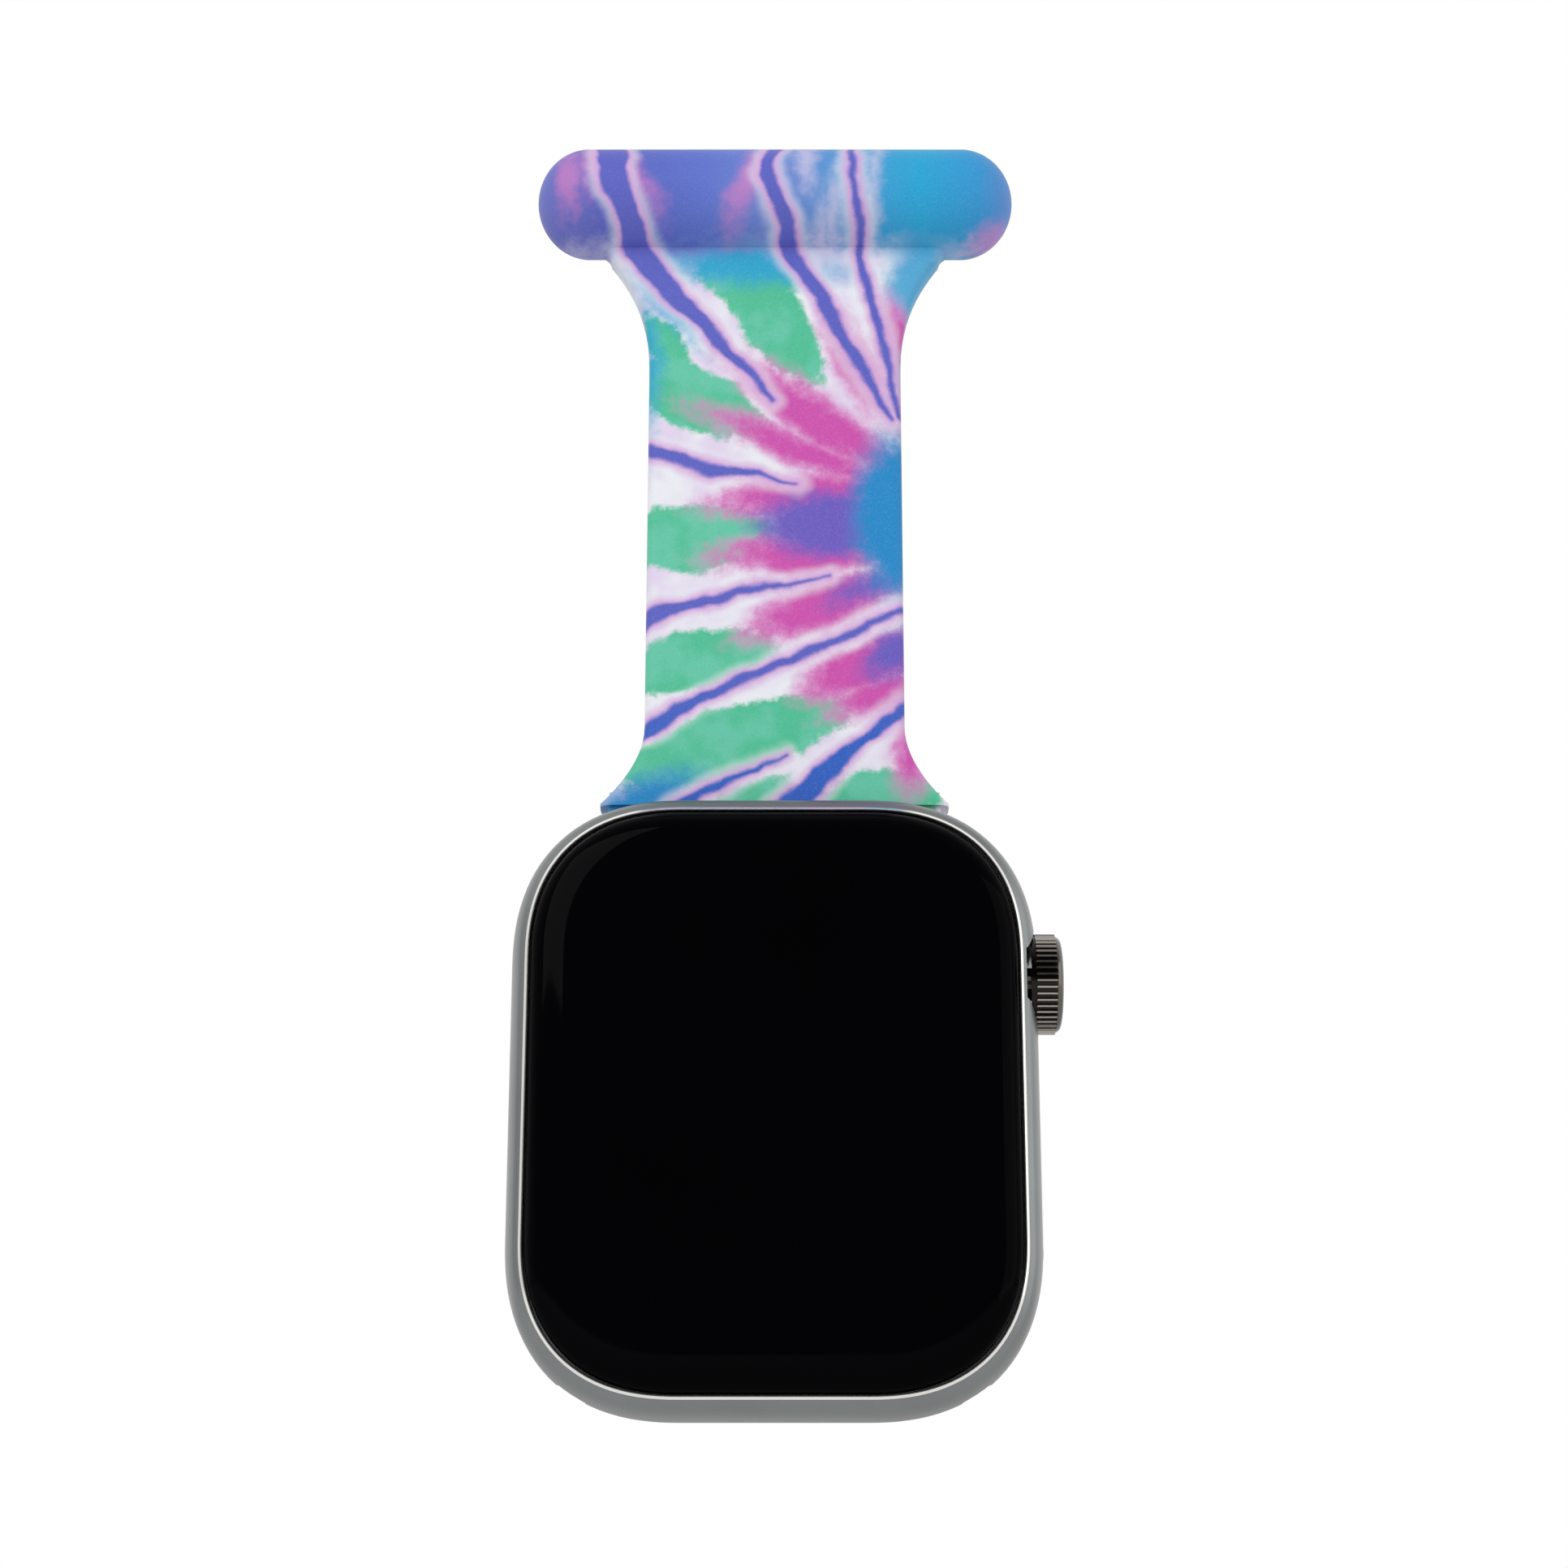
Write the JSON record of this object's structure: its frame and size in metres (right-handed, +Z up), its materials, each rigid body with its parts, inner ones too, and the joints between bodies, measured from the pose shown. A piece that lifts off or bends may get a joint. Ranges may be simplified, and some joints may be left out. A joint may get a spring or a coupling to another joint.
{
  "type": "digital fob watch",
  "caption": "Electronic watch with a rounded rectangular screen, knurled crown and flush side button, hung upright from a printed silicone fob with a brooch pin behind its round bar.",
  "frame": {"origin": "middle of the closed brooch pin, on its axis between pivot and catch", "axes": "+Z up as worn, +Y back towards the garment, -Y the way the screen faces, +X towards the crown"},
  "size_m": [0.0398, 0.0123, 0.0992],
  "materials": {
    "satin_aluminium": "satin, bead-blasted",
    "polished_steel": "polished",
    "spring_steel": "plain",
    "printed_silicone": "soft matte silicone with a tie-dye print of violet, blue, green and pink on lilac",
    "seal_rubber": "matte",
    "black_glass": "polished, opaque black from behind",
    "back_ceramic": "polished ceramic",
    "circuit_board": "solder mask",
    "component_black": "plain",
    "copper_winding": "bare copper",
    "battery_foil": "black wrapped foil"
  },
  "bodies": {
    "fob": {"fob_strap": "printed_silicone", "lug_core": "polished_steel", "lug_latch": "spring_steel", "brooch_base": "polished_steel", "pin_rivet": "polished_steel"},
    "pin": {"brooch_pin": "polished_steel"},
    "lock": {"catch_lock": "polished_steel"},
    "crown_press": {"crown_press_plate": "spring_steel"},
    "crown": {"crown_knob": "polished_steel", "crown_cap": "component_black", "crown_shaft": "polished_steel", "encoder_wheel": "component_black"},
    "side_button": {"side_button": "satin_aluminium"},
    "upper_release": {"upper_release_button": "satin_aluminium"},
    "lower_release": {"lower_release_button": "satin_aluminium"},
    "case": {"case_body": "satin_aluminium", "crown_bush": "polished_steel", "mid_plate": "polished_steel", "plate_screw_1": "polished_steel", "plate_screw_2": "polished_steel", "plate_screw_3": "polished_steel", "plate_screw_4": "polished_steel", "board_shield": "polished_steel", "haptic_motor": "polished_steel", "speaker_grille": "spring_steel", "microphone": "spring_steel", "crown_bracket": "spring_steel", "side_bracket": "spring_steel", "glass_seal": "seal_rubber", "back_seal": "seal_rubber", "crown_seal": "seal_rubber", "side_button_seal": "seal_rubber", "cover_glass": "black_glass", "back_crystal": "black_glass", "back_cover": "back_ceramic", "display_connector": "circuit_board", "logic_board": "circuit_board", "sensor_board": "circuit_board", "display_panel": "component_black", "speaker": "component_black", "sensor_lamp": "component_black", "photodiode_1": "component_black", "photodiode_2": "component_black", "photodiode_3": "component_black", "photodiode_4": "component_black", "ferrite_shield": "component_black", "encoder_sensor": "component_black", "crown_switch": "component_black", "side_switch": "component_black", "charging_coil": "copper_winding", "battery": "battery_foil"}
  },
  "joints": [
    {"name": "fob_slide", "type": "slide", "parent": "fob", "child": "case", "axis": [1, 0, 0], "range_m": [-0.0275, 0.0275], "deforming": ["lug_latch"]},
    {"name": "pin_swing", "type": "hinge", "parent": "fob", "child": "pin", "pos_m": [-0.0125, 0, 0], "axis": [0, 0, 1], "range_deg": [0, 80]},
    {"name": "catch_turn", "type": "hinge", "parent": "fob", "child": "lock", "pos_m": [0.012, 0, 0], "axis": [1, 0, 0], "range_deg": [0, 120]},
    {"name": "crown_press", "type": "slide", "parent": "case", "child": "crown_press", "axis": [-1, 0, 0], "range_m": [0, 0.0003], "stiffness_N_per_m": 2000, "springref_m": -0.0003},
    {"name": "crown_turn", "type": "hinge", "parent": "crown_press", "child": "crown", "pos_m": [0.019, -0.0061, -0.06345], "axis": [1, 0, 0], "continuous": true},
    {"name": "side_button_press", "type": "slide", "parent": "case", "child": "side_button", "axis": [-1, 0, 0], "range_m": [0, 0.00025], "stiffness_N_per_m": 2000, "springref_m": -0.0003},
    {"name": "upper_release_press", "type": "slide", "parent": "case", "child": "upper_release", "axis": [0, -1, 0], "range_m": [0, 0.0004], "stiffness_N_per_m": 1000, "springref_m": -0.0003, "deforming": ["lug_latch"]},
    {"name": "lower_release_press", "type": "slide", "parent": "case", "child": "lower_release", "axis": [0, -1, 0], "range_m": [0, 0.0004], "stiffness_N_per_m": 1000, "springref_m": -0.0003}
  ]
}
